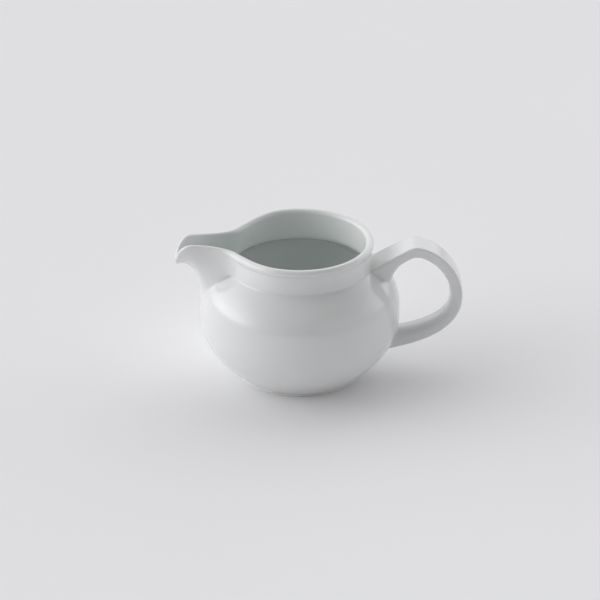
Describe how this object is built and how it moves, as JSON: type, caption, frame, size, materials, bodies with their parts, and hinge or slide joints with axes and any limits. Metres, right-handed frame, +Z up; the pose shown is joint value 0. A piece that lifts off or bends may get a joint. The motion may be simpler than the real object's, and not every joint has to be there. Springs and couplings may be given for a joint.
{
  "type": "cream jug",
  "caption": "Small round glazed porcelain pouring jug with a short collar, a rolled rim, a scooped spout and an ear-shaped strap handle.",
  "frame": {"origin": "centre of the foot ring's bearing face, on the axis of the belly", "axes": "+Z up along the belly's axis, +X towards the handle, -X towards the spout, mirror plane at Y = 0"},
  "size_m": [0.1212, 0.085, 0.0608],
  "materials": {
    "white_glaze": "clear gloss glaze over white porcelain, slightly green-grey where it pools",
    "slip_joint": "fired slip under the glaze, a little greener where glaze gathers in the joint",
    "bare_foot": "unglazed fired porcelain, matt and slightly rough"
  },
  "bodies": {
    "root": {"body": "white_glaze", "foot_ring": "bare_foot", "spout": "white_glaze", "spout_slip_joint": "slip_joint", "handle": "white_glaze", "upper_handle_slip_joint": "slip_joint", "lower_handle_slip_joint": "slip_joint"}
  },
  "joints": []
}
